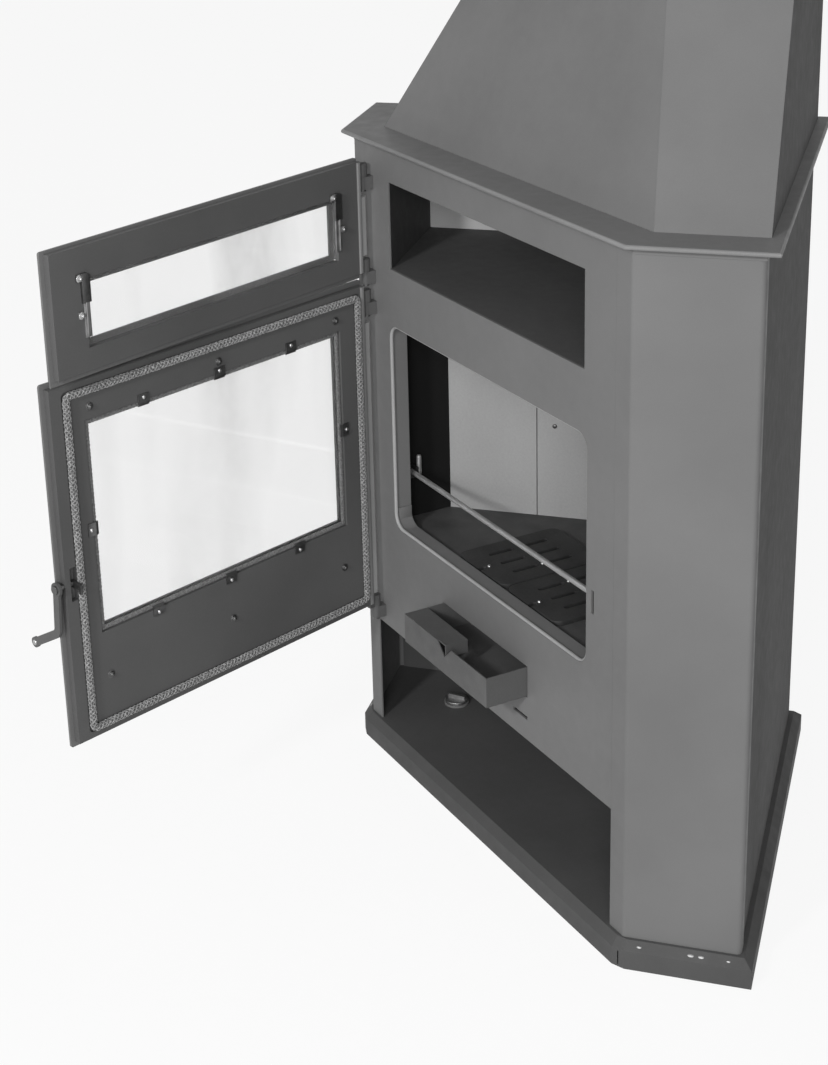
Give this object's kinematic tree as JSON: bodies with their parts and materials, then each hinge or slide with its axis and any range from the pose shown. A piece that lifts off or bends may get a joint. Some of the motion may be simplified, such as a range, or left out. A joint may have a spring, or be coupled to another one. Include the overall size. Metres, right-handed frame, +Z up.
{
  "type": "corner wood stove",
  "caption": "Corner wood stove in sheet steel with a glazed fire door, a glazed warming niche, an ash drawer, an open wood store and a tapering hood.",
  "frame": {"origin": "on the floor, midway along the front face of the body", "axes": "+Z up, -Y out of the front, +X to the right seen from the front"},
  "size_m": [1.1082, 1.3765, 1.84],
  "materials": {
    "painted_steel": "matt grey heat-resistant paint",
    "lining": "pale matt plate",
    "cast_iron": "rough cast",
    "bare_steel": "dull zinc",
    "rope": "woven glass fibre rope",
    "glass": "clear glass ceramic",
    "knob": "black enamel"
  },
  "bodies": {
    "stove": {"air_valve_seat": "painted_steel", "ash_box": "painted_steel", "back_lining_left": "lining", "back_lining_right": "lining", "baffle": "lining", "baffle_supports": "painted_steel", "base_plate": "painted_steel", "drawer_runners": "painted_steel", "fire_frame": "painted_steel", "firebox_back_left": "painted_steel", "firebox_back_right": "painted_steel", "firebox_floor": "cast_iron", "firebox_left_wall": "painted_steel", "firebox_right_wall": "painted_steel", "firebox_top": "painted_steel", "flue_collar": "bare_steel", "flue_pipe": "painted_steel", "front_panel": "painted_steel", "grate_left": "cast_iron", "grate_right": "cast_iron", "hinge_brackets": "painted_steel", "hinge_pins": "bare_steel", "hood_cap": "painted_steel", "hood_front_panel": "painted_steel", "hood_left_panel": "painted_steel", "hood_rear_left_panel": "painted_steel", "hood_rear_right_panel": "painted_steel", "hood_right_panel": "painted_steel", "left_rear_wall": "painted_steel", "left_side_casing": "painted_steel", "left_side_lining": "lining", "lining_screws": "bare_steel", "log_brackets": "painted_steel", "niche_floor": "painted_steel", "niche_left_cheek": "painted_steel", "niche_right_cheek": "painted_steel", "right_rear_wall": "painted_steel", "right_side_casing": "painted_steel", "right_side_lining": "lining", "top_plate": "painted_steel", "wood_store_ceiling": "painted_steel"},
    "fire_door": {"fire_door_bead": "rope", "fire_door_bolts": "bare_steel", "fire_door_clips": "bare_steel", "fire_door_frame": "painted_steel", "fire_door_glass": "glass", "fire_door_rope": "rope", "fire_door_skin": "painted_steel"},
    "niche_door": {"niche_door_bolts": "bare_steel", "niche_door_clips": "bare_steel", "niche_door_frame": "painted_steel", "niche_door_glass": "glass", "niche_door_knob": "knob", "niche_door_skin": "painted_steel"},
    "handle": {"handle_lever": "painted_steel", "handle_pin": "bare_steel"},
    "ash_drawer": {"ash_drawer": "painted_steel", "drawer_finger_plate": "painted_steel"},
    "log_retainer": {"log_retainer": "bare_steel"},
    "air_valve": {"air_valve_cap": "bare_steel"}
  },
  "joints": [
    {"name": "fire_door_hinge", "type": "hinge", "parent": "stove", "child": "fire_door", "pos_m": [-0.344, -0.016, 0.6], "axis": [0, 0, 1], "range_deg": [-30, 73.5]},
    {"name": "niche_door_hinge", "type": "hinge", "parent": "stove", "child": "niche_door", "pos_m": [-0.344, -0.016, 1], "axis": [0, 0, 1], "range_deg": [-30, 71]},
    {"name": "handle_turn", "type": "hinge", "parent": "fire_door", "child": "handle", "pos_m": [-0.14895, -0.66743, 0.575], "axis": [0.284, -0.9588, 0], "range_deg": [-45, 0]},
    {"name": "ash_drawer_slide", "type": "slide", "parent": "stove", "child": "ash_drawer", "axis": [0, 1, 0], "range_m": [-0.031, 0.075]},
    {"name": "log_retainer_lift", "type": "slide", "parent": "stove", "child": "log_retainer", "axis": [0, 0, 1], "range_m": [0, 0.035]},
    {"name": "air_valve_turn", "type": "hinge", "parent": "stove", "child": "air_valve", "pos_m": [-0.342, 0.146, 0.05], "axis": [0, 0, 1], "range_deg": [0, 90]}
  ],
  "couplings": [
    {"joint": "ash_drawer_slide", "follows": "fire_door_hinge", "m_per_rad": 0.0584}
  ]
}
